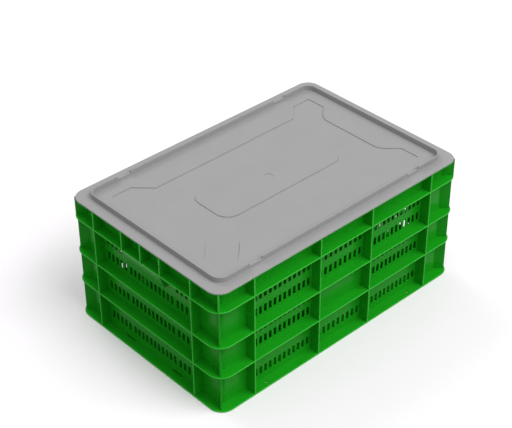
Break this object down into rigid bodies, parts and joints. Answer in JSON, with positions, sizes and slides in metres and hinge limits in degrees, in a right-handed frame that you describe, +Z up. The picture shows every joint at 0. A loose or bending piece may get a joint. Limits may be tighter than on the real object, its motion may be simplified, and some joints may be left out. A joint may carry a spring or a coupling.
{
  "type": "poultry transport crate",
  "caption": "Rectangular stacking plastic crate with slotted, ribbed walls, hooded hand-holds on both ends and a flat drop-on lid with a raised stacking ridge.",
  "frame": {"origin": "centre of the footprint, on the surface the crate stands on", "axes": "+X along the long side, +Y across the crate, +Z up"},
  "size_m": [0.6, 0.4, 0.27],
  "materials": {
    "crate_green": "satin moulded polyethylene",
    "lid_grey": "satin moulded polyethylene"
  },
  "bodies": {
    "crate": {"base_ring": "crate_green", "corner_post_back_left": "crate_green", "corner_post_back_right": "crate_green", "corner_post_front_left": "crate_green", "corner_post_front_right": "crate_green", "corner_rib_back_left": "crate_green", "corner_rib_back_right": "crate_green", "corner_rib_front_left": "crate_green", "corner_rib_front_right": "crate_green", "floor_grid": "crate_green", "hood_cheek_left_1": "crate_green", "hood_cheek_left_2": "crate_green", "hood_cheek_right_1": "crate_green", "hood_cheek_right_2": "crate_green", "hood_face_left": "crate_green", "hood_face_right": "crate_green", "rib_back_1": "crate_green", "rib_back_2": "crate_green", "rib_back_3": "crate_green", "rib_back_4": "crate_green", "rib_front_1": "crate_green", "rib_front_2": "crate_green", "rib_front_3": "crate_green", "rib_front_4": "crate_green", "rib_left_1": "crate_green", "rib_left_2": "crate_green", "rib_right_1": "crate_green", "rib_right_2": "crate_green", "rim_ring": "crate_green", "shelf_lower": "crate_green", "shelf_middle": "crate_green", "shelf_upper": "crate_green", "short_rib_left_1": "crate_green", "short_rib_left_2": "crate_green", "short_rib_left_3": "crate_green", "short_rib_right_1": "crate_green", "short_rib_right_2": "crate_green", "short_rib_right_3": "crate_green", "wall_back": "crate_green", "wall_front": "crate_green", "wall_left": "crate_green", "wall_right": "crate_green"},
    "lid": {"lid_sheet": "lid_grey", "lid_centre_panel": "lid_grey", "stacking_ridge": "lid_grey", "locating_lip": "lid_grey"}
  },
  "joints": [
    {"name": "lid_lift", "type": "slide", "parent": "crate", "child": "lid", "axis": [0, 0, 1], "range_m": [0, 0.3]}
  ]
}
